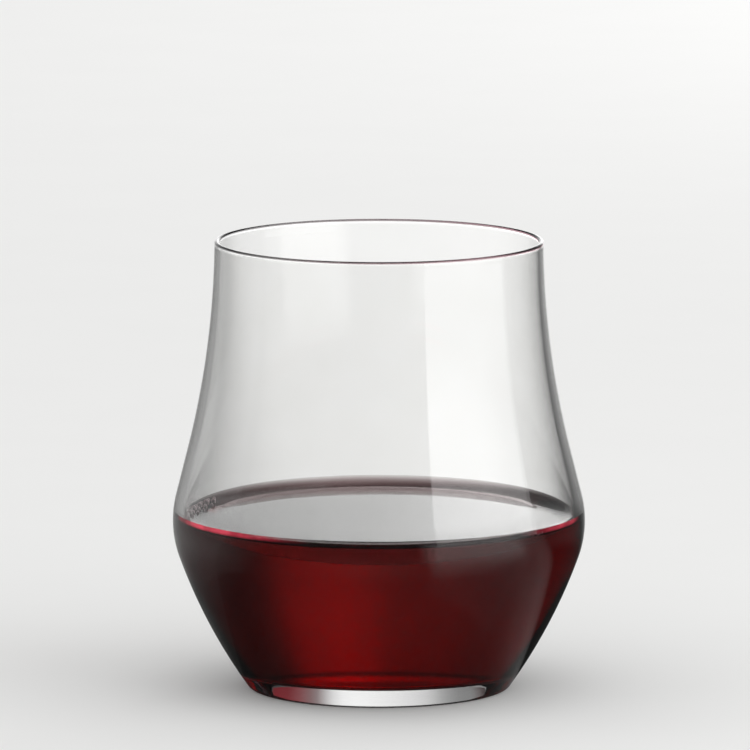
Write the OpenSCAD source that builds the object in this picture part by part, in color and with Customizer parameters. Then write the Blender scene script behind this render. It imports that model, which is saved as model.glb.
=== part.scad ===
// Stemless wine glass, one third full of red wine.
// The glass is one blown piece with a fire-polished lip, and the wine is a separate solid inside it.
// Millimetres. The origin is at the middle of the foot, on the table, and +Z points up.

/* [Outside] */
// Height of the glass from the table to the top of the lip
height = 98.2; // [90:0.1:108]
// Outer width of the bowl at its widest place
belly_d = 90; // [84:0.1:98]
// Height of the widest place above the table
belly_z = 36.7; // [32:0.1:42]
// Radius of the tight curve round the widest place
belly_r = 22.9; // [14:0.1:26]
// Radius of the long full curve from the belly down to the foot
side_r = 118.6; // [90:0.1:200]
// Outer width of the mouth, where the wall's sweep stands upright
mouth_d = 71.6; // [66:0.1:78]
// How far above the lip the sweep would stand upright
mouth_rise = 1.85; // [0.5:0.05:4]
// Width of the foot, where the side's curve would meet the table
foot_d = 56.9; // [52:0.1:60]
// Radius of the round heel between the side and the table
heel_r = 1.2; // [0.6:0.1:2]

/* [Glass wall] */
// Thickness of the wall just below the lip
wall_lip = 1.05; // [0.8:0.05:1.15]
// Thickness of the wall at the belly
wall_belly = 2.25; // [1.6:0.05:3.2]
// Thickness of the wall low down at the foot
wall_foot = 3.3; // [2.2:0.05:4]
// Thickness of the fire-polished bead that rounds the lip
lip_bead = 1.2; // [1.2:0.05:1.6]

/* [Base] */
// Height of the inside floor above the table at its edge, where the corner begins
floor_z = 4.8; // [3.5:0.1:7]
// How far the middle of the inside floor stands above its edge
floor_rise = 0.9; // [0.3:0.1:1.5]
// Radius of the inside corner between the floor and the wall
corner_r = 2; // [1:0.1:5]
// Width of the flat ring that the glass stands on
ring_w = 2.4; // [1.5:0.1:5]
// Height of the shallow hollow under the base, at its middle
push_up = 0.8; // [0.3:0.1:1.6]

/* [Wine] */
// Height of the flat wine surface above the table
fill_z = 36.6; // [24:0.1:60]
// How far the wine climbs the wall at its edge
climb_h = 2.2; // [0.8:0.1:2.5]
// Distance from the wall over which the climb dies away
climb_w = 1.4; // [0.8:0.1:2.5]

/* [Hidden] */

// Radius of the mouth's sweep, as a share of the largest that the belly's curve leaves room for
sweep_share = 0.972;
// How many times the climb's distance the curved edge of the wine reaches inwards
climb_reach = 5;
// Steps along the sweep, the belly, the side, and each of the small curves
sweep_steps = 28;
belly_steps = 18;
side_steps = 12;
small_steps = 8;
// Facets of a full turn in the preview
$fn = 144;

// The circle of the belly, and the circle of the upper sweep that hollows the outline above it
belly_c = [belly_d / 2 - belly_r, belly_z];
mouth_top = [mouth_d / 2, height + mouth_rise];
narrowing = belly_d / 2 - mouth_top.x;
rise = mouth_top.y - belly_z;
sweep_r = sweep_share * (narrowing * narrowing + rise * rise) / (2 * narrowing) - belly_r;
sweep_c = mouth_top + [sweep_r, 0];
// Lean of the straight stretch that touches both of these circles
sweep_way = sweep_c - belly_c;
lean = atan2(sweep_way.y, sweep_way.x) - acos((sweep_r + belly_r) / norm(sweep_way));

// The circle of the side rolls off the belly's circle and runs through the edge of the foot
foot_way = [foot_d / 2, 0] - belly_c;
side_gap = side_r - belly_r;
side_cos = (foot_way * foot_way + side_gap * side_gap - side_r * side_r) / (2 * side_gap * norm(foot_way));
side_turn = atan2(foot_way.y, foot_way.x) - acos(side_cos);
side_c = belly_c + side_gap * [cos(side_turn), sin(side_turn)];
// Angle from level at which the side's curve takes over from the belly's
side_from = 180 + side_turn;

// The heel is a small circle that touches the side and the table
heel_drop = side_c.y - heel_r;
heel_c = [side_c.x + sqrt(pow(side_r - heel_r, 2) - heel_drop * heel_drop), heel_r];
heel_from = atan2(heel_c.y - side_c.y, heel_c.x - side_c.x);
ring_in = heel_c.x - ring_w;

// The bead of the lip sits over the middle of the wall
lip_c = [mouth_d / 2 - wall_lip / 2, height - lip_bead / 2];
lip_turn = acos(wall_lip / lip_bead);
neck_z = lip_c.y - lip_bead / 2 * sin(lip_turn);
sweep_end = asin((mouth_top.y - neck_z) / sweep_r);

// Thickness of the wall at a height
function wall_at(z) = lookup(z, [[0, wall_foot], [belly_z, wall_belly], [height, wall_lip]]);

// Points along an arc. Each comes with the direction that faces out of the glass there.
function stretch(centre, radius, from, to, steps, out = 1) =
    [for (i = [0:steps])
        let (turn = from + (to - from) * i / steps, ray = [cos(turn), sin(turn)])
        [centre + radius * ray, out * ray]];

// Points of an arc alone
function arc(centre, radius, from, to, steps) =
    [for (p = stretch(centre, radius, from, to, steps)) p[0]];

// Points along a shallow dome that rises from its edge to its middle, from a width inwards
function dome(edge, middle_z, steps) =
    let (h = middle_z - edge.y, radius = (edge.x * edge.x + h * h) / (2 * h))
    [for (i = [0:steps])
        let (x = edge.x * (1 - i / steps))
        [x, middle_z - radius + sign(radius) * sqrt(radius * radius - x * x)]];

// The outside of the wall from the heel up to the neck
skin = concat(
    stretch(side_c, side_r, heel_from, side_from, side_steps),
    stretch(belly_c, belly_r, side_from, lean, belly_steps),
    stretch(sweep_c, sweep_r, 180 + lean, 180 + sweep_end, sweep_steps, -1));
outside = [for (p = skin) p[0]];
// The inside of the wall lies the wall's thickness in from it
liner = [for (p = skin) p[0] - wall_at(p[0].y) * p[1]];

// The inside corner is a circle that touches the floor's edge and the inner wall
corner_z = floor_z + corner_r;
corner_side_r = side_r - wall_at(floor_z);
corner_c = [side_c.x + sqrt(pow(corner_side_r - corner_r, 2) - pow(side_c.y - corner_z, 2)), corner_z];
corner_to = atan2(corner_c.y - side_c.y, corner_c.x - side_c.x);
corner = arc(corner_c, corner_r, -90, corner_to, small_steps);
corner_top = corner[small_steps];
// The floor, the corner and the inner wall, from the middle upwards
floor_line = dome(corner[0], floor_z + floor_rise, small_steps);
inside = concat(
    [for (i = [small_steps:-1:1]) floor_line[i]],
    corner,
    [for (p = liner) if (p.y > corner_top.y + corner_r / 4 && p.y < neck_z) p]);

// Inner radius at a height above the corner
function inside_r(z) = lookup(z, [for (p = inside) if (p.y >= corner_top.y) [p.y, p.x]]);

// The wine's edge climbs the wall, and its curved top falls away to the flat level
edge_z = fill_z + climb_h;
edge_r = inside_r(edge_z);
wine_top = [for (i = [0:small_steps * 2])
    let (off = climb_w * climb_reach * pow(i / (small_steps * 2), 2))
    [edge_r - off, fill_z + climb_h * (exp(-off / climb_w) - exp(-climb_reach)) / (1 - exp(-climb_reach))]];

// The glass: a blown bowl with a thick base, a rounded heel and a fire-polished lip
module glass() {
    color([0.82, 0.9, 0.9, 0.35])
        rotate_extrude()
            polygon(concat(
                dome([ring_in, 0], push_up, small_steps),
                inside,
                [lip_c - lip_bead / 2 * [cos(lip_turn), sin(lip_turn)]],
                arc(lip_c, lip_bead / 2, 180, 0, small_steps * 2),
                [for (i = [len(outside) - 1:-1:0]) outside[i]],
                arc(heel_c, heel_r, heel_from, -90, small_steps)));
}

// The wine: it fills the bowl to its level and meets the wall all the way round
module wine() {
    color([0.33, 0.03, 0.07])
        rotate_extrude()
            polygon(concat(
                [for (p = inside) if (p.y < edge_z) p],
                wine_top,
                [[0, fill_z]]));
}

glass();
wine();
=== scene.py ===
"""Looks of a stemless wine glass that holds red wine.

Metres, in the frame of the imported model: the origin is at the middle of the foot, on the table, and +Z is up.
The glass and the wine are turned from one outline, so that their faces meet as they do on the real thing.
"""

import logging
from dataclasses import dataclass, field
from enum import Enum
from math import acos, acosh, asin, atan2, ceil, copysign, cos, pi, radians, sin, sqrt, tau

import bpy
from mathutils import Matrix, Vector


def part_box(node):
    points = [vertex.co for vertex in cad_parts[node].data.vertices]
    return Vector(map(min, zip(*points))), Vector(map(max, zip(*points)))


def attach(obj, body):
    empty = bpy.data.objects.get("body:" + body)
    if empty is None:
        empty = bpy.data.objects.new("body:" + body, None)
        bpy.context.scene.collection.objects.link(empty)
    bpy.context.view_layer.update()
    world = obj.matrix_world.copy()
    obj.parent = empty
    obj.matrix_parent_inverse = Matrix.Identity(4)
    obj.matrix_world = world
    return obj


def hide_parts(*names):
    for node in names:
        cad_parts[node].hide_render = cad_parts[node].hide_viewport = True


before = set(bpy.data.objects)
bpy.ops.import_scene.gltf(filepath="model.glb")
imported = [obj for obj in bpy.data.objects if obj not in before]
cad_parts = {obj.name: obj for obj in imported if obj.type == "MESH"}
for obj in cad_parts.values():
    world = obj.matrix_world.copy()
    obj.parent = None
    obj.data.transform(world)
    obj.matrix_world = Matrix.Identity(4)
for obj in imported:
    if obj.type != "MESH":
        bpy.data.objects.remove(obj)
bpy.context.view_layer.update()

logging.basicConfig(level=logging.INFO, format="%(message)s")
log = logging.getLogger("wine_glass")

MM = 0.001
ROOT_BODY = "root"
ORIGIN = (0.0, 0.0, 0.0)
UP = (0.0, 0.0, 1.0)

GLASS_IOR = 1.52
WINE_IOR = 1.34
# For a film whose other side does the bending
NO_BENDING = 1.0

WHITE = "#FFFFFF"
# Light that has come through wine
CRIMSON = "#E8203C"

# A ray's depths count how often it has been bent or mirrored. Two dry walls bend it four times
TWO_WALLS = 4.0
# Comparisons stand half way between two counts
HALF_COUNT = 0.5

# Places along a line or round the glass, each with the level there
Marks = tuple[tuple[float, float], ...]

Object = bpy.types.Object
Material = bpy.types.Material
Tree = bpy.types.NodeTree
Node = bpy.types.Node
Socket = bpy.types.NodeSocket


class GlassFace(Enum):
    """The faces of the glass, by what they touch: each has its finish's slot and its bending."""

    DRY = (0, "fire_polished_soda_lime_glass", GLASS_IOR)
    WETTED = (1, "wine_wetted_soda_lime_glass", GLASS_IOR / WINE_IOR)


def linear(code: str) -> tuple[float, float, float, float]:
    """Turns an sRGB hex colour into linear values.

    Args:
        code: The colour, such as "#A1B2C3".

    Returns:
        Red, green, blue and an alpha of 1, all linear.
    """
    straight_to, slope, offset, power = 0.04045, 12.92, 0.055, 2.4
    shares = [int(code[i : i + 2], 16) / 255 for i in (1, 3, 5)]
    bent = [c / slope if c <= straight_to else ((c + offset) / (1 + offset)) ** power for c in shares]
    return (bent[0], bent[1], bent[2], 1.0)


def add_node(tree: Tree, kind: str, settings: dict | None = None) -> Node:
    """Adds a node with its settings and links.

    Args:
        tree: The node tree that takes the node.
        kind: The node's type name.
        settings: Values by property name, input name or input number. An output is linked to the input, and
            a node stands for its first output.

    Returns:
        The new node.
    """
    node = tree.nodes.new(kind)
    for name, value in (settings or {}).items():
        source = value.outputs[0] if isinstance(value, Node) else value
        if isinstance(name, str) and name not in node.inputs:
            setattr(node, name, value)
        elif isinstance(source, Socket):
            tree.links.new(source, node.inputs[name])
        else:
            node.inputs[name].default_value = value
    return node


def start_material(name: str) -> tuple[Material, Tree, Socket]:
    """Makes a material whose only node gives the place on the piece.

    Args:
        name: The material's name.

    Returns:
        The material, its node tree and the place on the piece.
    """
    material = bpy.data.materials.new(name)
    material.use_nodes = True
    tree = material.node_tree
    tree.nodes.clear()
    return material, tree, add_node(tree, "ShaderNodeTexCoord").outputs["Object"]


def deselect_all() -> None:
    """Leaves no object selected, so that the next operators act on the new piece alone."""
    bpy.ops.object.select_all(action="DESELECT")


def start_line(name: str, place: tuple[float, float, float]) -> Object:
    """Makes a piece of one point, in edit mode and with the point selected, to extrude a line from.

    Args:
        name: The piece's name.
        place: Where the point is.

    Returns:
        The piece.
    """
    deselect_all()
    bpy.ops.mesh.primitive_plane_add(size=MM, location=ORIGIN)
    piece = bpy.context.object
    piece.name = piece.data.name = name
    bpy.ops.object.mode_set(mode="EDIT")
    bpy.ops.mesh.select_all(action="SELECT")
    bpy.ops.mesh.merge(type="CENTER")
    bpy.ops.mesh.select_all(action="SELECT")
    bpy.ops.transform.translate(value=place)
    return piece


@dataclass(frozen=True)
class Outline:
    """The turned outline of the glass, as tangent arcs. All sizes are in metres.

    The height and the belly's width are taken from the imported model. The others repeat its driving sizes.
    """

    height: float
    belly_d: float
    belly_z: float = 36.7 * MM
    belly_r: float = 22.9 * MM
    side_r: float = 118.6 * MM
    mouth_d: float = 71.6 * MM
    mouth_rise: float = 1.85 * MM
    foot_d: float = 56.9 * MM
    heel_r: float = 1.2 * MM
    wall_lip: float = 1.05 * MM
    wall_belly: float = 2.25 * MM
    wall_foot: float = 3.3 * MM
    lip_bead: float = 1.08 * MM
    floor_z: float = 4.8 * MM
    floor_rise: float = 0.9 * MM
    corner_r: float = 2.0 * MM
    ring_w: float = 2.4 * MM
    push_up: float = 0.8 * MM
    fill_z: float = 36.6 * MM
    climb_h: float = 2.2 * MM
    sweep_share: float = 0.972
    # Angle between the wine's surface and the wall where they meet
    contact: float = radians(15)
    # Length of a step along an arc, and the steps of the lip's bead and of the wine's climb
    step: float = 0.6 * MM
    lip_steps: int = 20
    climb_steps: int = 32

    def wall_at(self, z: float) -> float:
        """Gives the wall's thickness at a height.

        Args:
            z: Height above the table.

        Returns:
            The thickness, even between the foot, the belly and the lip.
        """
        if z < self.belly_z:
            share = max(z, 0.0) / self.belly_z
            return self.wall_foot + (self.wall_belly - self.wall_foot) * share
        share = min((z - self.belly_z) / (self.height - self.belly_z), 1.0)
        return self.wall_belly + (self.wall_lip - self.wall_belly) * share

    def stretch(
        self, centre: Vector, radius: float, start: float, end: float, out: float = 1.0, least: int = 6
    ) -> list[tuple[Vector, Vector]]:
        """Walks along an arc in steps of about the outline's step.

        Args:
            centre: Middle of the arc, as radius and height.
            radius: Radius of the arc.
            start: First angle, in radians.
            end: Last angle, in radians.
            out: 1 where the arc bulges outwards, or -1 where it hollows.
            least: The fewest steps.

        Returns:
            Points, each with the direction that faces out of the glass there.
        """
        count = max(least, ceil(abs(end - start) * radius / self.step))
        rays = []
        for i in range(count + 1):
            turn = start + (end - start) * i / count
            ray = Vector((cos(turn), sin(turn)))
            rays.append((centre + ray * radius, ray * out))
        return rays

    def dome(self, edge: Vector, middle_z: float) -> list[Vector]:
        """Walks along a shallow dome from its edge to the axis, in steps twice as long as on the wall.

        Args:
            edge: Radius and height of the dome's edge.
            middle_z: Height of its middle.

        Returns:
            Points from the edge inwards.
        """
        rise = middle_z - edge.y
        radius = (edge.x**2 + rise**2) / (2 * rise)
        count = ceil(edge.x / self.step / 2)
        points = []
        for i in range(count + 1):
            x = edge.x * (1 - i / count)
            points.append(Vector((x, middle_z - radius + copysign(sqrt(radius**2 - x**2), radius))))
        return points

    @property
    def belly_c(self) -> Vector:
        """Middle of the belly's arc."""
        return Vector((self.belly_d / 2 - self.belly_r, self.belly_z))

    @property
    def sweep(self) -> tuple[Vector, float]:
        """Finds the hollow sweep above the belly.

        Returns:
            Its middle and its radius.
        """
        top = Vector((self.mouth_d / 2, self.height + self.mouth_rise))
        narrowing = self.belly_d / 2 - top.x
        rise = top.y - self.belly_z
        radius = self.sweep_share * (narrowing**2 + rise**2) / (2 * narrowing) - self.belly_r
        return top + Vector((radius, 0.0)), radius

    @property
    def side_c(self) -> Vector:
        """Finds the full curve that rolls off the belly's and runs through the edge of the foot.

        Returns:
            Its middle.
        """
        way = Vector((self.foot_d / 2, 0.0)) - self.belly_c
        gap = self.side_r - self.belly_r
        share = (way.length_squared + gap**2 - self.side_r**2) / (2 * gap * way.length)
        turn = atan2(way.y, way.x) - acos(share)
        return self.belly_c + Vector((cos(turn), sin(turn))) * gap

    @property
    def heel_c(self) -> Vector:
        """Middle of the round heel."""
        drop = self.side_c.y - self.heel_r
        return Vector((self.side_c.x + sqrt((self.side_r - self.heel_r) ** 2 - drop**2), self.heel_r))

    @property
    def heel_turn(self) -> float:
        """Angle at which the side's curve runs into the heel's."""
        heel = self.heel_c - self.side_c
        return atan2(heel.y, heel.x)

    @property
    def lip_c(self) -> Vector:
        """Middle of the lip's bead."""
        return Vector(((self.mouth_d - self.wall_lip) / 2, self.height - self.lip_bead / 2))

    @property
    def lip_turn(self) -> float:
        """Angle below level at which the bead leaves the wall."""
        return acos(self.wall_lip / self.lip_bead)

    @property
    def neck_z(self) -> float:
        """Height at which the wall runs into the lip's bead."""
        return self.lip_c.y - self.lip_bead / 2 * sin(self.lip_turn)

    @property
    def edge_z(self) -> float:
        """Height of the wine's edge on the wall."""
        return self.fill_z + self.climb_h

    def skin(self) -> list[tuple[Vector, Vector]]:
        """Walks up the outer wall from the heel to the neck.

        Returns:
            Points, each with the direction that faces outwards there.
        """
        sweep_c, sweep_r = self.sweep
        way = sweep_c - self.belly_c
        lean = atan2(way.y, way.x) - acos((sweep_r + self.belly_r) / way.length)
        meet = self.side_c - self.belly_c
        side_from = atan2(-meet.y, -meet.x)
        neck = asin((sweep_c.y - self.neck_z) / sweep_r)
        side = self.stretch(self.side_c, self.side_r, self.heel_turn, side_from)
        belly = self.stretch(self.belly_c, self.belly_r, side_from, lean)
        sweep = self.stretch(sweep_c, sweep_r, pi + lean, pi + neck, -1.0)
        # The straight stretch between the belly and the sweep is cut as finely as the arcs
        start, facing = belly[-1]
        end = sweep[0][0]
        cuts = max(1, ceil((end - start).length / self.step))
        straight = [(start.lerp(end, i / cuts), facing) for i in range(1, cuts)]
        return side + belly[1:] + straight + sweep

    def inside(self) -> list[Vector]:
        """Walks up the inside from the middle of the floor to the neck.

        Returns:
            Points of the floor, the corner and the wall.
        """
        corner_z = self.floor_z + self.corner_r
        reach = self.side_r - self.wall_at(self.floor_z) - self.corner_r
        corner_x = self.side_c.x + sqrt(reach**2 - (self.side_c.y - corner_z) ** 2)
        centre = Vector((corner_x, corner_z))
        way = centre - self.side_c
        corner = [p for p, _ in self.stretch(centre, self.corner_r, -pi / 2, atan2(way.y, way.x))]
        floor = self.dome(corner[0], self.floor_z + self.floor_rise)[:0:-1]
        liner = [p - n * self.wall_at(p.y) for p, n in self.skin()]
        # The wall's first point keeps a little away from the corner's last one
        wall_from = corner[-1].y + self.corner_r / 4
        return floor + corner + [p for p in liner if wall_from < p.y < self.neck_z]

    def wetted(self) -> list[Vector]:
        """Cuts off the part of the inside that the wine wets.

        Returns:
            Points from the middle of the floor to the wine's edge.
        """
        line = self.inside()
        wet = [p for p in line if p.y < self.edge_z]
        above = line[len(wet)]
        share = (self.edge_z - wet[-1].y) / (above.y - wet[-1].y)
        return wet + [wet[-1].lerp(above, share)]

    def wine_top(self) -> list[Vector]:
        """Gives the wine's surface from its edge on the wall to the axis.

        Wine wets clean glass, so its surface leaves the wall steeply, and its slope falls away as the pull
        of its skin and its weight balance.

        Returns:
            Points from the edge inwards.
        """
        edge = self.wetted()[-1]
        # Length that balances the skin's pull and the weight, for a liquid that climbs this high
        steepest = pi / 2 - self.contact
        length = self.climb_h / 2 / sin(steepest / 2)
        slopes = [steepest * (1 - i / self.climb_steps) for i in range(self.climb_steps)]
        heights = [2 * length * sin(slope / 2) for slope in slopes]
        reaches = [length * (acosh(2 * length / h) - 2 * cos(s / 2)) for s, h in zip(slopes, heights)]
        last = heights[-1]
        points = [
            Vector((edge.x - (reach - reaches[0]), self.fill_z + (h - last) * self.climb_h / (self.climb_h - last)))
            for reach, h in zip(reaches, heights)
        ]
        # Level wine needs a ring only every fourth step
        flat = points[-1].x
        rings = ceil(flat / self.step / 4)
        return points + [Vector((flat * (1 - i / rings), self.fill_z)) for i in range(1, rings + 1)]

    def glass(self) -> list[Vector]:
        """Walks round the whole section of the glass.

        Returns:
            Points from the middle of the floor, over the lip and the foot, to the middle of the underside.
        """
        # The first dry point keeps a little away from the wine's edge
        dry = [p for p in self.inside() if p.y > self.edge_z + self.step / 4]
        start, end = pi + self.lip_turn, -self.lip_turn
        bead = self.stretch(self.lip_c, self.lip_bead / 2, start, end, least=self.lip_steps)
        heel = self.stretch(self.heel_c, self.heel_r, self.heel_turn, -pi / 2)
        outside = [p for p, _ in bead + self.skin()[-2::-1] + heel[1:]]
        ring_in = Vector((self.heel_c.x - self.ring_w, 0.0))
        return self.wetted() + dry + outside + self.dome(ring_in, self.push_up)


@dataclass(frozen=True)
class Lathe:
    """Turns outlines about the upright axis, as a glassmaker's mould and pipe do."""

    segments: int = 160
    weld: float = MM / 1000
    crease: float = radians(50)

    def turn(self, name: str, line: list[Vector]) -> Object:
        """Draws an outline by extruding one point along it, and spins it full circle.

        Args:
            name: The piece's name.
            line: Points of radius and height. The first and the last lie on the axis.

        Returns:
            The turned piece, smooth shaded, with outward normals.
        """
        piece = start_line(name, (line[0].x, 0, line[0].y))
        for here, there in zip(line, line[1:]):
            step = (there.x - here.x, 0, there.y - here.y)
            bpy.ops.mesh.extrude_region_move(TRANSFORM_OT_translate={"value": step})
        bpy.ops.mesh.select_all(action="SELECT")
        bpy.ops.mesh.spin(steps=self.segments, angle=tau, center=ORIGIN, axis=UP)
        bpy.ops.mesh.select_all(action="SELECT")
        bpy.ops.mesh.remove_doubles(threshold=self.weld)
        bpy.ops.mesh.normals_make_consistent(inside=False)
        bpy.ops.object.mode_set(mode="OBJECT")
        bpy.ops.object.shade_smooth_by_angle(angle=self.crease)
        return piece


def clear_surface(tree: Tree, ior: float, finish: dict, left: str = "#F2F2F2") -> Node:
    """Adds a smooth clear surface. Light from lamps passes straight through, so that its shadow stays light.

    Args:
        tree: The material's nodes.
        ior: How strongly it bends light.
        finish: What else its shader takes, such as a colour.
        left: What is left of a lamp's light behind it.

    Returns:
        The mixed shader.
    """
    smooth = {"Roughness": 0.0, "IOR": ior, "Transmission Weight": 1.0, **finish}
    bending = add_node(tree, "ShaderNodeBsdfPrincipled", smooth)
    straight = add_node(tree, "ShaderNodeBsdfTransparent", {"Color": linear(left)})
    shadow = add_node(tree, "ShaderNodeLightPath").outputs["Is Shadow Ray"]
    return add_node(tree, "ShaderNodeMixShader", {0: shadow, 1: bending, 2: straight})


def share_by_height(tree: Tree, where: Socket, low: float, high: float) -> Node:
    """Adds nodes for a share that rises with height.

    Args:
        tree: The material's nodes.
        where: The place on the piece.
        low: The height at which the share starts to rise from 0.
        high: The height at which it is 1.

    Returns:
        The share there.
    """
    height = add_node(tree, "ShaderNodeSeparateXYZ", {"Vector": where}).outputs["Z"]
    return add_node(tree, "ShaderNodeMapRange", {"From Min": low, "From Max": high, "Value": height})


@dataclass(frozen=True)
class ClearGlass:
    """Soda-lime glass, blown into a mould and fire-polished: colourless, bright, with a faint slow ripple.

    Depths count down from the top of the lip, where painted shade darkens the glass in a thin line and a wine-red
    painted glow tints it on one side.
    """

    name: str
    ior: float
    body: str = WHITE
    cast: str = "#FCFCFB"
    ripple: float = 9 * MM
    ripple_depth: float = 0.004 * MM
    # Out of reach on a piece without a lip
    lip_z: float = 1.0
    # Painted light and painted shade under the lip: a wine-red glow and a dark line, each with the depths at which
    # it starts and is full
    painted_lip_glow: str = "#984058"
    painted_lip_glow_depths: tuple[float, float] = (0.7 * MM, 0.5 * MM)
    painted_rim_shade: str = "#585254"
    painted_rim_shade_depths: tuple[float, float] = (0.48 * MM, 0.32 * MM)

    def make(self) -> Material:
        """Builds the glass, with a cast that varies a little and lamps let through.

        Returns:
            The material.
        """
        material, tree, where = start_material(self.name)
        ripple = add_node(tree, "ShaderNodeTexNoise", {"Scale": 1 / self.ripple, "Detail": 1.0, "Vector": where})
        tint = {"data_type": "RGBA", 0: ripple, 6: linear(self.body), 7: linear(self.cast)}
        colour = add_node(tree, "ShaderNodeMix", tint).outputs[2]
        # Painted shade: a dark line just under the top of the bead. Painted light: a wine-red tint on one side,
        # standing in for light that the wall pipes up from the wine
        line, lit = (
            share_by_height(tree, where, self.lip_z - start, self.lip_z - full)
            for start, full in (self.painted_rim_shade_depths, self.painted_lip_glow_depths)
        )
        by_side = Levels(PAINTED_LIP_GLOW_BY_AZIMUTH).round_axis(tree, where)
        painted_lip_glow_share = add_node(tree, "ShaderNodeMath", {"operation": "MULTIPLY", 0: lit, 1: by_side})
        for share, hue in ((line, self.painted_rim_shade), (painted_lip_glow_share, self.painted_lip_glow)):
            tint = {"data_type": "RGBA", 0: share, 6: colour, 7: linear(hue)}
            colour = add_node(tree, "ShaderNodeMix", tint).outputs[2]
        relief = {"Distance": self.ripple_depth, "Strength": 1.0, "Height": ripple}
        bump = add_node(tree, "ShaderNodeBump", relief)
        face = clear_surface(tree, self.ior, {"Base Color": colour, "Normal": bump})
        add_node(tree, "ShaderNodeOutputMaterial", {"Surface": face})
        return material


@dataclass(frozen=True)
class RedWine:
    """Young red wine: ruby where it is thin and nearly black crimson through the whole bowl."""

    name: str = "red_wine"
    thin: str = "#FBDBDD"
    density: float = 1000.0
    shadow: str = "#D88C94"
    clear: str = WHITE
    rosy: str = "#FFF6F6"
    cloud: float = 14 * MM

    def make(self) -> Material:
        """Builds the wine's body: it only drinks light, and its surface film does the bending.

        Returns:
            The material.
        """
        material, tree, where = start_material(self.name)
        noise = add_node(tree, "ShaderNodeTexNoise", {"Scale": 1 / self.cloud, "Detail": 2.0, "Vector": where})
        tint = {"data_type": "RGBA", 0: noise, 6: linear(self.clear), 7: linear(self.rosy)}
        colour = add_node(tree, "ShaderNodeMix", tint).outputs[2]
        face = clear_surface(tree, NO_BENDING, {"Base Color": colour}, self.shadow)
        drink = add_node(tree, "ShaderNodeVolumeAbsorption", {"Color": linear(self.thin), "Density": self.density})
        add_node(tree, "ShaderNodeOutputMaterial", {"Surface": face, "Volume": drink})
        return material


@dataclass(frozen=True)
class WineUndersideWithPaintedGlow:
    """The underside of the wine's surface: it bends nothing itself, and a painted crimson glow in its edge stands
    in for light gathering there.

    The painted glow starts at the height `low` and is full from the height `high`.
    """

    low: float
    high: float
    name: str = "under_wine_surface_painted_glow"
    deep: str = "#A8142C"
    pale: str = "#E04A60"
    grain: float = 5 * MM
    # The levels of the grain between which the painted glow goes from its faintest to full
    grain_ends: tuple[float, float] = (0.3, 0.62)
    faintest: float = 0.45

    def make(self) -> Material:
        """Builds the clear underside and the broken painted glow in its edge.

        Returns:
            The material.
        """
        material, tree, where = start_material(self.name)
        noise = add_node(tree, "ShaderNodeTexNoise", {"Scale": 1 / self.grain, "Detail": 2.0, "Vector": where})
        start, full = self.grain_ends
        spread = {"From Min": start, "From Max": full, "To Min": self.faintest, "Value": noise}
        broken = add_node(tree, "ShaderNodeMapRange", spread)
        hue = {"data_type": "RGBA", 0: broken, 6: linear(self.deep), 7: linear(self.pale)}
        colour = add_node(tree, "ShaderNodeMix", hue).outputs[2]
        # Painted glow: an emission stands in for crimson light gathering in the wine's edge
        glow = add_node(tree, "ShaderNodeEmission", {"Color": colour, "Strength": broken})
        lift = share_by_height(tree, where, self.low, self.high)
        by_side = Levels(PAINTED_EDGE_GLOW_BY_AZIMUTH).round_axis(tree, where)
        share = add_node(tree, "ShaderNodeMath", {"operation": "MULTIPLY", 0: lift, 1: by_side})
        skin = clear_surface(tree, NO_BENDING, {})
        face = add_node(tree, "ShaderNodeMixShader", {0: share, 1: skin, 2: glow})
        add_node(tree, "ShaderNodeOutputMaterial", {"Surface": face})
        return material


@dataclass
class Vessel:
    """The blown glass itself."""

    outline: Outline
    lathe: Lathe = field(default_factory=Lathe)
    # How far up a face of the floor looks, as the height of its normal
    floor_from: float = 0.8

    def build(self) -> Object:
        """Turns the glass, dresses it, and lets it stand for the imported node.

        Returns:
            The glass.
        """
        piece = self.lathe.turn("blown_glass", self.outline.glass())
        for kind in GlassFace:
            _, name, ior = kind.value
            piece.data.materials.append(ClearGlass(name=name, ior=ior, lip_z=self.outline.height).make())
        self.mark_wetted(piece)
        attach(piece, ROOT_BODY)
        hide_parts("glass")
        return piece

    def mark_wetted(self, piece: Object) -> None:
        """Gives the faces that the wine touches the finish whose bending is glass against wine.

        Args:
            piece: The turned glass.
        """
        for face in piece.data.polygons:
            middle, normal = face.center, face.normal
            inward = middle.x * normal.x + middle.y * normal.y < 0
            below = self.outline.floor_z / 2 < middle.z < self.outline.edge_z
            if below and (inward or normal.z > self.floor_from):
                face.material_index = GlassFace.WETTED.value[0]


@dataclass
class Wine:
    """The wine: a body that drinks light, and the film at its top where it meets the air."""

    outline: Outline
    lathe: Lathe = field(default_factory=Lathe)
    gap: float = 0.01 * MM
    film: float = 0.02 * MM
    ripple_depth: float = 0.002 * MM
    # How far below the wine's edge the painted crimson glow under it starts and is full
    painted_edge_glow_depths: tuple[float, float] = (1.3 * MM, 0.6 * MM)

    def build(self) -> list[Object]:
        """Turns the wine and its surface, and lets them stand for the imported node.

        Returns:
            The body and the surface.
        """
        top = self.outline.wine_top()
        line = self.outline.wetted() + top[1:]
        body = self.lathe.turn("wine_body", [Vector((max(p.x - self.gap, 0.0), p.y + self.gap)) for p in line])
        body.data.materials.append(RedWine().make())
        # The film starts inside the wall, so that no light slips past its edge
        sheet = [top[0] + Vector((self.gap * 2, 0.0))] + top[1:]
        upper = [p + Vector((0.0, self.film)) for p in reversed(sheet)]
        lower = [p + Vector((0.0, self.gap)) for p in sheet]
        surface = self.lathe.turn("wine_surface", upper + lower)
        film = ClearGlass(name="wine_surface_film", ior=WINE_IOR, ripple_depth=self.ripple_depth)
        low, high = (self.outline.edge_z - depth for depth in self.painted_edge_glow_depths)
        for finish in (film, WineUndersideWithPaintedGlow(low, high)):
            surface.data.materials.append(finish.make())
        for face in surface.data.polygons:
            if face.normal.z < 0:
                face.material_index = 1
        for piece in (body, surface):
            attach(piece, ROOT_BODY)
            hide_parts("wine")
        return [body, surface]


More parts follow.
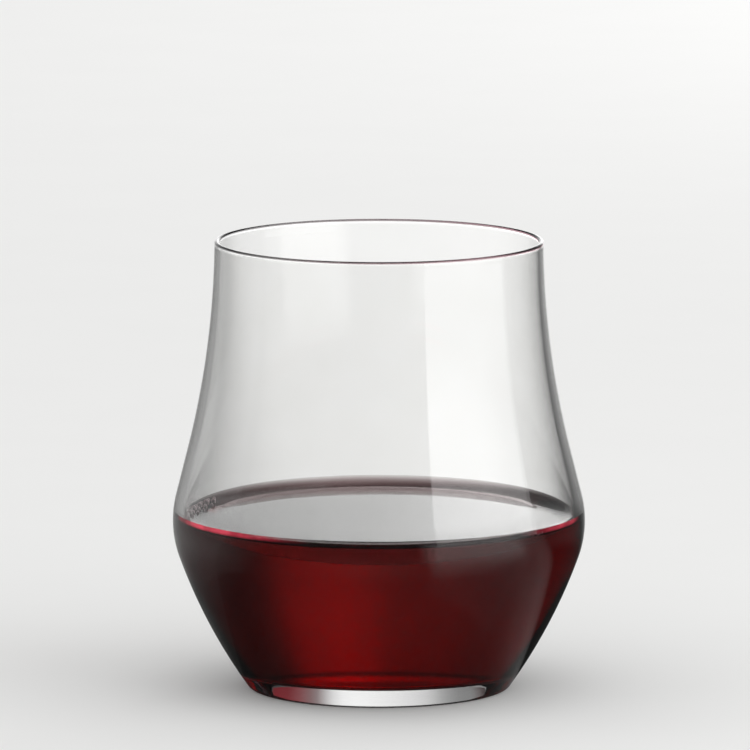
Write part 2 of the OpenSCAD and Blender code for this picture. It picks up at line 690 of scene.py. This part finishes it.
@dataclass(frozen=True)
class BubbleFilm:
    """The skin of a wine bubble: clear in its middle, pale where it is seen edge on, and mirroring."""

    name: str = "wine_bubble_film"
    skin: str = WHITE
    froth: str = "#F4DDE0"
    blend: float = 0.55
    swirl: float = 0.3 * MM
    roughest: float = 0.06

    def make(self) -> Material:
        """Builds the skin, whose mirror has a faint swirl.

        Returns:
            The material.
        """
        material, tree, where = start_material(self.name)
        noise = add_node(tree, "ShaderNodeTexNoise", {"Scale": 1 / self.swirl, "Detail": 1.0, "Vector": where})
        rough = add_node(tree, "ShaderNodeMapRange", {"To Max": self.roughest, "Value": noise})
        mirror = add_node(tree, "ShaderNodeBsdfAnisotropic", {"Color": linear(self.skin), "Roughness": rough})
        clear = add_node(tree, "ShaderNodeBsdfTransparent", {"Color": linear(self.skin)})
        froth = add_node(tree, "ShaderNodeBsdfDiffuse", {"Color": linear(self.froth)})
        facing = add_node(tree, "ShaderNodeLayerWeight", {"Blend": self.blend}).outputs["Facing"]
        skin = add_node(tree, "ShaderNodeMixShader", {0: facing, 1: clear, 2: froth})
        fresnel = add_node(tree, "ShaderNodeFresnel", {"IOR": WINE_IOR})
        film = add_node(tree, "ShaderNodeMixShader", {0: fresnel, 1: skin, 2: mirror})
        add_node(tree, "ShaderNodeOutputMaterial", {"Surface": film})
        return material


# Bubbles of the wine's edge: angle from +X in degrees, distance in from the wine's edge and radius in mm
BUBBLES = (
    (153.0, 0.9, 0.45), (155.2, 1.6, 0.65), (157.0, 0.8, 0.50), (158.6, 2.4, 0.40), (159.8, 1.3, 0.80),
    (162.2, 0.7, 0.45), (163.4, 2.1, 0.60), (165.2, 1.1, 0.75), (167.4, 2.6, 0.35), (168.4, 0.8, 0.55),
    (169.6, 1.7, 0.65), (172.2, 1.0, 0.80), (173.8, 2.3, 0.40), (175.4, 0.7, 0.50), (177.4, 1.5, 0.60),
    (179.8, 0.9, 0.65), (181.8, 1.9, 0.35), (183.6, 0.8, 0.50), (186.4, 0.9, 0.40), (189.6, 0.7, 0.35),
    (-36.2, 0.6, 0.30), (-37.6, 0.9, 0.38), (-39.0, 0.5, 0.28), (-40.0, 1.0, 0.32), (-41.6, 0.6, 0.25),
)


@dataclass
class Bubbles:
    """The few small bubbles that pouring leaves at the wine's edge, left and right of the front."""

    outline: Outline
    # Share of a bubble's width that is under the wine
    sunk: float = 0.25
    segments: int = 20
    rings: int = 12

    def build(self) -> Object:
        """Sets a dome for each bubble on the wine, and joins them into one piece.

        Returns:
            The joined bubbles.
        """
        domes = [self.dome(*bubble) for bubble in BUBBLES]
        deselect_all()
        for dome in domes:
            dome.select_set(True)
        piece = domes[0]
        bpy.context.view_layer.objects.active = piece
        bpy.ops.object.join()
        bpy.ops.object.transform_apply(location=True, rotation=True, scale=True)
        piece.name = piece.data.name = "wine_bubbles"
        bpy.ops.object.shade_smooth()
        piece.data.materials.append(BubbleFilm().make())
        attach(piece, ROOT_BODY)
        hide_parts("wine")
        return piece

    def dome(self, angle: float, inwards: float, radius: float) -> Object:
        """Makes one bubble: a ball whose sunken part is cut away.

        Args:
            angle: Where it is round the axis, in degrees from +X.
            inwards: How far in from the wine's edge its middle is, in mm.
            radius: Its radius, in mm.

        Returns:
            The dome, in place.
        """
        top = self.outline.wine_top()
        away = top[0].x - inwards * MM
        level = next(p.y for p in top if p.x <= away)
        turn = radians(angle)
        place = (away * cos(turn), away * sin(turn), level + radius * MM * (1 - self.sunk * 2))
        deselect_all()
        bpy.ops.mesh.primitive_uv_sphere_add(
            segments=self.segments, ring_count=self.rings, radius=radius * MM, location=place
        )
        dome = bpy.context.object
        bpy.ops.object.mode_set(mode="EDIT")
        bpy.ops.mesh.select_all(action="SELECT")
        bpy.ops.mesh.bisect(plane_co=(0, 0, level), plane_no=UP, clear_inner=True)
        bpy.ops.object.mode_set(mode="OBJECT")
        return dome


# Tables by azimuth are in degrees from straight behind the glass, positive to the right.
# Radiance of the room, as glass and wine show it
ROOM_BY_AZIMUTH = (
    (180, 0.08), (120, 0.10), (60, 0.10), (45, 0.09), (38, 0.13), (30, 0.13), (25, 0.17), (21, 0.28),
    (18.5, 0.45), (16.4, 0.80), (14.3, 1.20), (12, 1.57), (9.2, 1.84), (6.5, 2.15), (4, 2.12), (1.5, 1.84),
    (-1, 1.34), (-3.5, 1.10), (-6, 0.98), (-9, 0.84), (-12, 0.72), (-15, 0.58), (-18, 0.45), (-22, 0.37),
    (-30, 0.36), (-40, 0.42), (-60, 0.30), (-90, 0.15), (-120, 0.08),
)
# What is left of it by height, in degrees above level: a dark and a bright band, and a dark ceiling
ROOM_BY_HEIGHT = (
    (5.5, 1.08), (7.5, 0.95), (9.5, 0.84), (12.0, 0.66), (12.7, 0.64), (12.95, 0.25), (13.25, 0.18),
    (13.45, 0.50), (13.9, 1.12), (14.15, 0.85), (14.5, 0.38), (14.8, 0.18), (15.4, 0.12), (20.0, 0.12),
    (50.0, 0.25),
)
# How far these bands bow down towards the sides, as the height lost per squared share of sideways direction
BAND_BOW = 0.78
# Radiance of the card that stands for the low light in the base
BASE_BY_AZIMUTH = (
    (180, 0.95), (157, 0.70), (135, 0.95), (119, 0.80), (110, 0.30), (45, 0.32), (31, 0.39), (23, 0.28),
    (16.5, 0.24), (12, 0.28), (9.6, 0.26), (8.1, 0.30), (6.6, 0.58), (5.1, 0.88), (3.6, 1.0), (1.2, 0.96),
    (-0.9, 0.89), (-3.9, 0.76), (-5.4, 0.68), (-6.9, 0.57), (-8.4, 0.43), (-10.2, 0.335), (-12.8, 0.27),
    (-17.5, 0.26), (-24, 0.13), (-60, 0.15), (-74, 0.80), (-90, 0.95), (-106, 0.80), (-118, 0.20),
    (-150, 0.20), (-166, 0.80),
)
# How crimson that light is, where the wine has thrown it
CRIMSON_BY_AZIMUTH = (
    (180, 0.0), (118, 0.0), (108, 0.95), (31, 0.80), (23, 0.92), (16.5, 0.88), (12, 0.70), (9.6, 0.42),
    (8.1, 0.2), (6.6, 0.0), (-17, 0.0), (-24, 0.25), (-40, 0.0),
)
# How much painted crimson glow the wine's edge gets, and how much wine-red painted glow tints the lip
PAINTED_EDGE_GLOW_BY_AZIMUTH = (
    (160, 0.0), (136, 0.0), (128, 0.20), (116, 0.55), (108, 0.40), (102, 0.0), (-100, 0.0), (-108, 0.35),
    (-118, 0.85), (-130, 1.0), (-142, 0.6), (-152, 0.12), (-160, 0.0),
)
PAINTED_LIP_GLOW_BY_AZIMUTH = (
    (180, 0.25), (135, 0.45), (100, 1.0), (80, 1.0), (45, 0.35), (10, 0.1), (-40, 0.0), (-140, 0.0),
)
# Painted light and shade on the floor where wine shows it or glass mirrors it, as a share of its paint: dark at
# most sides, and above 1 where more light is painted in
PAINTED_FLOOR_LIGHT_BY_AZIMUTH = (
    (180, 0.10), (160, 0.14), (152, 1.30), (104, 1.30), (97, 0.30), (90, 0.12), (60, 0.10), (36, 0.10),
    (28, 0.20), (20, 0.50), (14.5, 1.0), (11, 1.12), (7, 1.18), (2, 1.18), (-6, 1.08), (-10, 0.85),
    (-15, 0.60), (-22, 0.42), (-40, 0.42), (-64, 0.45), (-90, 0.35), (-120, 0.12),
)
# The same painted light and shade behind clear dry glass: pale from every side, and dark only beside what lies
# behind the glass
PAINTED_FLOOR_LIGHT_BEHIND_GLASS = (
    (180, 1.12), (168, 1.05), (158, 0.75), (148, 1.05), (135, 1.12), (118, 1.05), (104, 0.70), (92, 0.30),
    (60, 0.10), (36, 0.10), (28, 0.20), (20, 0.50), (14.5, 1.0), (11, 1.12), (7, 1.18), (2, 1.18),
    (-6, 1.08), (-10, 0.85), (-15, 0.60), (-22, 0.42), (-50, 0.42), (-64, 0.60), (-74, 1.05), (-90, 1.12),
    (-106, 1.05), (-120, 0.60), (-145, 0.50), (-160, 0.80), (-170, 1.05),
)
# The same close to the foot: painted shade for the shade of the glass and the wine
PAINTED_SHADE_BY_AZIMUTH = (
    (180, 0.18), (125, 0.17), (115, 0.22), (105, 0.32), (90, 0.38), (84, 0.30), (78, 0.04), (35, 0.04),
    (20, 0.05), (-20, 0.06), (-45, 0.14), (-60, 0.14), (-80, 0.10), (-93, 0.07), (-112, 0.08),
    (-128, 0.14), (-150, 0.18),
)
# Radiance of the softbox's face by height, in metres, and what is left of it by azimuth
SOFTBOX_BY_HEIGHT = (
    (0.0, 1.8), (0.03, 1.35), (0.10, 1.35), (0.13, 1.95), (0.17, 2.05), (0.22, 1.8), (0.62, 1.7),
)
SOFTBOX_BY_AZIMUTH = ((150, 1.0), (112, 1.0), (98, 0.8), (84, 0.7))


@dataclass(frozen=True)
class Levels:
    """A table of levels that a colour ramp holds."""

    marks: Marks
    # Where straight behind the glass lies in a radial gradient
    behind: float = 0.75

    def ramp(self, tree: Tree, places: list[float], value: Socket | Node) -> Node:
        """Adds a ramp that gives a level for a value.

        Args:
            tree: The nodes of a world or a material.
            places: The place of each mark along the ramp, from 0 to 1.
            value: The value to look up.

        Returns:
            The level there.
        """
        # A ramp holds no level above 1, so it is filled with shares of the highest one
        peak = max(level for _, level in self.marks) or 1.0
        ramp = add_node(tree, "ShaderNodeValToRGB", {"Fac": value})
        band = ramp.color_ramp
        band.elements.remove(band.elements[1])
        for i, (place, level) in enumerate(sorted(zip(places, (level / peak for _, level in self.marks)))):
            stop = band.elements.new(place) if i else band.elements[0]
            stop.position = place
            stop.color = (level, level, level, 1)
        return add_node(tree, "ShaderNodeMath", {"operation": "MULTIPLY", 0: ramp, 1: peak})

    def round_axis(self, tree: Tree, where: Socket) -> Node:
        """Adds nodes that look a level up by azimuth.

        Args:
            tree: The nodes of a world or a material.
            where: A direction, or a place round the axis of the glass.

        Returns:
            The level there.
        """
        turn = add_node(tree, "ShaderNodeTexGradient", {"gradient_type": "RADIAL", "Vector": where})
        places = [(self.behind - azimuth / 360) % 1 for azimuth, _ in self.marks]
        return self.ramp(tree, places, turn.outputs["Fac"])

    def up_the_card(self, tree: Tree, where: Socket, height: float) -> Node:
        """Adds nodes that look a level up by height.

        Args:
            tree: The card's nodes.
            where: The place on the card.
            height: The card's height.

        Returns:
            The level there.
        """
        share = share_by_height(tree, where, 0.0, height)
        return self.ramp(tree, [mark / height for mark, _ in self.marks], share)

    def up_from_level(self, tree: Tree, way: Socket) -> Node:
        """Adds nodes that look a level up by the height of a direction, with bands that bow.

        Args:
            tree: The world's nodes.
            way: The direction.

        Returns:
            The level there.
        """
        parts = add_node(tree, "ShaderNodeSeparateXYZ", {"Vector": way}).outputs
        squared = add_node(tree, "ShaderNodeMath", {"operation": "MULTIPLY", 0: parts["X"], 1: parts["X"]})
        bow = add_node(tree, "ShaderNodeMath", {"operation": "MULTIPLY", 0: squared, 1: BAND_BOW})
        height = add_node(tree, "ShaderNodeMath", {"operation": "SUBTRACT", 0: parts["Z"], 1: bow})
        return self.ramp(tree, [sin(radians(mark)) for mark, _ in self.marks], height)


def shown_through_glass(tree: Tree) -> Node:
    """Adds nodes that tell rays that glass or wine has mirrored or bent from all others.

    Args:
        tree: The nodes of a world or a material.

    Returns:
        1 for those rays, and 0 for others.
    """
    rays = add_node(tree, "ShaderNodeLightPath").outputs
    either = {"operation": "MAXIMUM", 0: rays["Is Glossy Ray"], 1: rays["Is Transmission Ray"]}
    return add_node(tree, "ShaderNodeMath", either)


def by_depths(tree: Tree, mirrored: bool, bends: float) -> Node:
    """Adds nodes that pick rays by how often they have been mirrored and bent.

    Args:
        tree: The nodes of a material.
        mirrored: Whether to pick rays that something has mirrored, or those that nothing has.
        bends: How often a picked ray has been bent at most.

    Returns:
        1 for the picked rays, and 0 for others.
    """
    rays = add_node(tree, "ShaderNodeLightPath").outputs
    compare = "GREATER_THAN" if mirrored else "LESS_THAN"
    mirrors = {"operation": compare, 0: rays["Glossy Depth"], 1: HALF_COUNT}
    bendings = {"operation": "LESS_THAN", 0: rays["Transmission Depth"], 1: bends + HALF_COUNT}
    first, second = (add_node(tree, "ShaderNodeMath", test) for test in (mirrors, bendings))
    return add_node(tree, "ShaderNodeMath", {"operation": "MULTIPLY", 0: first, 1: second})


@dataclass(frozen=True)
class FloorPaint:
    """Matt off-white paint. Where glass or wine shows it, painted shade darkens it round the foot, painted light
    and shade change it by direction, and it is satin and dark in front.
    """

    name: str = "matt_off_white_paint_with_painted_shade"
    light: str = "#F3F3F2"
    dark: str = "#F1F1F0"
    grain: float = 40 * MM
    # The middle of the painted shade, and how far from it the painted shade ends
    shade_middle: tuple[float, float, float] = (30 * MM, 15 * MM, 0.0)
    shade_ends: tuple[float, float] = (45 * MM, 190 * MM)
    # How far out the floor behind clear glass is pale all round, before painted light and shade by direction take
    # over. So close, it is only seen from above
    pale_ends: tuple[float, float] = (110 * MM, 220 * MM)
    sheen: float = 0.70
    sheen_to: float = -30 * MM

    def make(self) -> Material:
        """Builds the paint, with a slow mottle, the painted light and shade, and the sheen.

        Returns:
            The material.
        """
        material, tree, where = start_material(self.name)
        noise = add_node(tree, "ShaderNodeTexNoise", {"Scale": 1 / self.grain, "Detail": 3.0, "Vector": where})
        mottle = {"data_type": "RGBA", 0: noise, 6: linear(self.light), 7: linear(self.dark)}
        tint = add_node(tree, "ShaderNodeMix", mottle).outputs[2]
        apart = {"operation": "DISTANCE", 0: where, 1: self.shade_middle}
        away = add_node(tree, "ShaderNodeVectorMath", apart).outputs["Value"]
        smooth = {"interpolation_type": "SMOOTHSTEP", "Value": away}
        past_shade, past_pale = (
            add_node(tree, "ShaderNodeMapRange", {**smooth, "From Min": start, "From Max": end})
            for start, end in (self.shade_ends, self.pale_ends)
        )
        open_floor, close_floor, floor_behind = (
            Levels(marks).round_axis(tree, where)
            for marks in (PAINTED_FLOOR_LIGHT_BY_AZIMUTH, PAINTED_SHADE_BY_AZIMUTH, PAINTED_FLOOR_LIGHT_BEHIND_GLASS)
        )
        # Painted shade and light: rays that glass or wine shows see the floor's colour scaled by these levels, by
        # distance from the foot and by direction
        lit = add_node(tree, "ShaderNodeMath", {"operation": "MULTIPLY", 0: past_shade, 1: open_floor})
        shade = add_node(tree, "ShaderNodeMath", {"operation": "MAXIMUM", 0: lit, 1: close_floor})
        behind = add_node(tree, "ShaderNodeMix", {"data_type": "FLOAT", 0: past_pale, 2: 1.0, 3: floor_behind})
        dry = by_depths(tree, mirrored=False, bends=TWO_WALLS)
        through = add_node(tree, "ShaderNodeMix", {"data_type": "FLOAT", 0: dry, 2: shade, 3: behind})
        shown = shown_through_glass(tree)
        left = add_node(tree, "ShaderNodeMix", {"data_type": "FLOAT", 0: shown, 2: 1.0, 3: through})
        shaded = add_node(tree, "ShaderNodeVectorMath", {"operation": "SCALE", 0: tint, "Scale": left})
        forward = add_node(tree, "ShaderNodeSeparateXYZ", {"Vector": where}).outputs["Y"]
        sheen = {"From Max": self.sheen_to, "To Max": self.sheen, "Value": forward}
        front = add_node(tree, "ShaderNodeMapRange", sheen)
        satin = add_node(tree, "ShaderNodeMath", {"operation": "MULTIPLY", 0: front, 1: shown})
        matt = {"Base Color": shaded, "Roughness": 0.6, "Specular IOR Level": 0.0}
        coat = {"Coat Weight": satin, "Coat Roughness": 0.08}
        shader = add_node(tree, "ShaderNodeBsdfPrincipled", {**matt, **coat})
        add_node(tree, "ShaderNodeOutputMaterial", {"Surface": shader})
        return material


@dataclass(frozen=True)
class Room:
    """The pale room: plain for the camera, soft as light, and by direction for what glass and wine show."""

    light: float = 0.86
    plain: str = "#FAFAFA"
    # How much brighter the wine's surface and the dry glass mirror it than the wine's body shows it
    off_the_wine: float = 1.27

    def build(self) -> None:
        """Sets the world."""
        world = bpy.data.worlds.new("pale_room")
        bpy.context.scene.world = world
        world.use_nodes = True
        tree = world.node_tree
        tree.nodes.clear()
        way = add_node(tree, "ShaderNodeTexCoord").outputs["Generated"]
        rays = add_node(tree, "ShaderNodeLightPath").outputs
        past_walls = {"Value": rays["Transmission Depth"], "From Min": TWO_WALLS, "From Max": TWO_WALLS + 1}
        lift = add_node(tree, "ShaderNodeMapRange", {**past_walls, "To Min": self.off_the_wine})
        level = Levels(ROOM_BY_AZIMUTH).round_axis(tree, way)
        for share in (Levels(ROOM_BY_HEIGHT).up_from_level(tree, way), lift):
            level = add_node(tree, "ShaderNodeMath", {"operation": "MULTIPLY", 0: level, 1: share})
        lit, plain, bent = (
            add_node(tree, "ShaderNodeBackground", {"Color": linear(colour), "Strength": strength})
            for colour, strength in ((WHITE, self.light), (self.plain, 1.0), (WHITE, level))
        )
        for_camera = add_node(tree, "ShaderNodeMixShader", {0: rays["Is Camera Ray"], 1: lit, 2: plain})
        shown = shown_through_glass(tree)
        for_glass = add_node(tree, "ShaderNodeMixShader", {0: shown, 1: for_camera, 2: bent})
        add_node(tree, "ShaderNodeOutputWorld", {"Surface": for_glass})


@dataclass(frozen=True)
class Softbox:
    """A flat soft lamp that only lights: the camera doesn't see it, and glass and wine show cards instead."""

    name: str
    place: tuple[float, float, float]
    turn: tuple[float, float, float]
    width: float
    height: float
    radiance: float

    def build(self) -> None:
        """Hangs the lamp up."""
        bpy.ops.object.light_add(type="AREA", location=self.place, rotation=self.turn)
        lamp = bpy.context.object
        lamp.name = lamp.data.name = self.name
        lamp.data.shape = "RECTANGLE"
        lamp.data.size = self.width
        lamp.data.size_y = self.height
        lamp.data.energy = self.radiance * pi * self.width * self.height
        lamp.visible_camera = False
        lamp.visible_glossy = False
        lamp.visible_transmission = False


@dataclass(frozen=True)
class Card:
    """A curved glowing card round the glass, which only glass and wine show. Angles are azimuths in degrees."""

    name: str
    reach: float
    height: float
    start: float
    end: float
    glow: Marks
    foot: float = MM / 2
    steps: int = 24
    # What is left of the glow by height, and how crimson it is by azimuth
    rise: Marks = ((0.0, 1.0),)
    crimson: Marks = ((0.0, 0.0),)
    # Whether mirrors show it directly, and how often a ray that shows it has been bent at most
    mirrored: bool = True
    bends: float = 20.0

    def build(self) -> Object:
        """Bends the card, and gives it its glow by azimuth.

        Returns:
            The card.
        """
        turn = radians(self.start)
        card = start_line(self.name, (self.reach * sin(turn), self.reach * cos(turn), self.foot))
        bpy.ops.mesh.extrude_region_move(TRANSFORM_OT_translate={"value": (0, 0, self.height)})
        bpy.ops.mesh.select_all(action="SELECT")
        sweep = radians(self.end - self.start)
        bpy.ops.mesh.spin(steps=self.steps, angle=sweep, center=ORIGIN, axis=UP)
        bpy.ops.object.mode_set(mode="OBJECT")
        card.data.materials.append(self.glowing_card())
        card.visible_camera = False
        card.visible_diffuse = False
        card.visible_glossy = self.mirrored
        card.visible_shadow = False
        return card

    def glowing_card(self) -> Material:
        """Builds the glow, and lets all rays through but those that glass or wine has mirrored.

        Returns:
            The material.
        """
        material, tree, where = start_material(self.name)
        by_side = Levels(self.glow).round_axis(tree, where)
        by_height = Levels(self.rise).up_the_card(tree, where, self.height)
        level = add_node(tree, "ShaderNodeMath", {"operation": "MULTIPLY", 0: by_side, 1: by_height})
        wine_lit = Levels(self.crimson).round_axis(tree, where)
        hue = {"data_type": "RGBA", 0: wine_lit, 6: linear(WHITE), 7: linear(CRIMSON)}
        colour = add_node(tree, "ShaderNodeMix", hue).outputs[2]
        glow = add_node(tree, "ShaderNodeEmission", {"Color": colour, "Strength": level})
        clear = add_node(tree, "ShaderNodeBsdfTransparent")
        shows = by_depths(tree, mirrored=True, bends=self.bends)
        face = add_node(tree, "ShaderNodeMixShader", {0: shows, 1: clear, 2: glow})
        add_node(tree, "ShaderNodeOutputMaterial", {"Surface": face})
        return material


@dataclass
class Studio:
    """The plain pale stage: floor, room, soft lamps, cards, and the camera."""

    distance: float = 2.2
    camera_z: float = 0.3942
    pitch: float = 8.42
    focal_px: float = 10210.0
    frame_px: float = 750.0
    sensor_mm: float = 36.0
    aside: float = -0.87 * MM
    sight: float = 20.0
    floor_r: float = 3.0
    floor_corners: int = 96
    floor_rim: float = 0.1
    # The softbox stands at this azimuth, counted from straight in front of the glass, and this far from it
    lamp_azimuth: float = 63.0
    lamp_reach: float = 0.68
    lamp_width: float = 0.86
    lamp_height: float = 0.7
    side_place: tuple[float, float, float] = (0.75, 1.4, 0.6)
    side_width: float = 0.4
    side_radiance: float = 7.0

    def build(self) -> None:
        """Sets up the whole stage."""
        self.add_floor()
        Room().build()
        self.add_lamps()
        self.add_cards()
        self.add_camera()

    def add_floor(self) -> None:
        """Lays a wide flat floor."""
        deselect_all()
        bpy.ops.mesh.primitive_circle_add(
            vertices=self.floor_corners, radius=self.floor_r, fill_type="NGON", location=ORIGIN
        )
        floor = bpy.context.object
        floor.name = floor.data.name = "studio_floor"
        bpy.ops.object.mode_set(mode="EDIT")
        bpy.ops.mesh.select_all(action="SELECT")
        bpy.ops.mesh.inset(thickness=self.floor_r * self.floor_rim)
        bpy.ops.object.mode_set(mode="OBJECT")
        floor.data.materials.append(FloorPaint().make())

    def add_lamps(self) -> None:
        """Stands a tall softbox in front of the glass at its right, and hangs a lamp over the floor behind it."""
        azimuth = radians(self.lamp_azimuth)
        forward, right = -cos(azimuth), sin(azimuth)
        place = (self.lamp_reach * right, self.lamp_reach * forward, self.lamp_height / 2)
        turn = (pi / 2, 0, azimuth)
        Softbox("softbox_light", place, turn, self.lamp_width, self.lamp_height, radiance=1.0).build()
        Softbox("side_lamp", self.side_place, ORIGIN, self.side_width, self.side_width, self.side_radiance).build()

    def add_cards(self) -> None:
        """Bends the cards for the softbox that the glass mirrors and for the low light in its base."""
        sides, heights = SOFTBOX_BY_AZIMUTH, SOFTBOX_BY_HEIGHT
        Card("softbox_face", reach=0.60, height=0.62, start=85, end=149, glow=sides, rise=heights).build()
        low_light = {"glow": BASE_BY_AZIMUTH, "crimson": CRIMSON_BY_AZIMUTH, "mirrored": False, "bends": 2.0}
        Card("base_card", reach=0.07, height=0.024, start=-180, end=180, **low_light).build()

    def add_camera(self) -> None:
        """Places the camera where the photograph was taken from."""
        bpy.ops.object.camera_add(location=(self.aside, -self.distance, self.camera_z))
        camera = bpy.context.object
        camera.name = "photo_camera"
        camera.rotation_euler = (radians(90 - self.pitch), 0, 0)
        camera.data.sensor_width = self.sensor_mm
        camera.data.lens = self.focal_px / self.frame_px * self.sensor_mm
        camera.data.clip_end = self.sight
        bpy.context.scene.camera = camera


def main() -> None:
    """Builds the object and its stage, and reports each piece."""
    scene = bpy.context.scene
    scene.view_settings.view_transform = "Standard"
    # Rays go through all the walls of glass and wine
    scene.cycles.max_bounces = 24
    scene.cycles.transmission_bounces = 20
    scene.cycles.glossy_bounces = 8
    scene.cycles.transparent_max_bounces = 24
    scene.cycles.caustics_refractive = False
    low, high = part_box("glass")
    outline = Outline(height=high[2], belly_d=high[0] - low[0])
    for piece in (Vessel(outline).build(), *Wine(outline).build(), Bubbles(outline).build()):
        log.info("%s: %d faces", piece.name, len(piece.data.polygons))
    Studio().build()


if __name__ == "__main__":
    main()
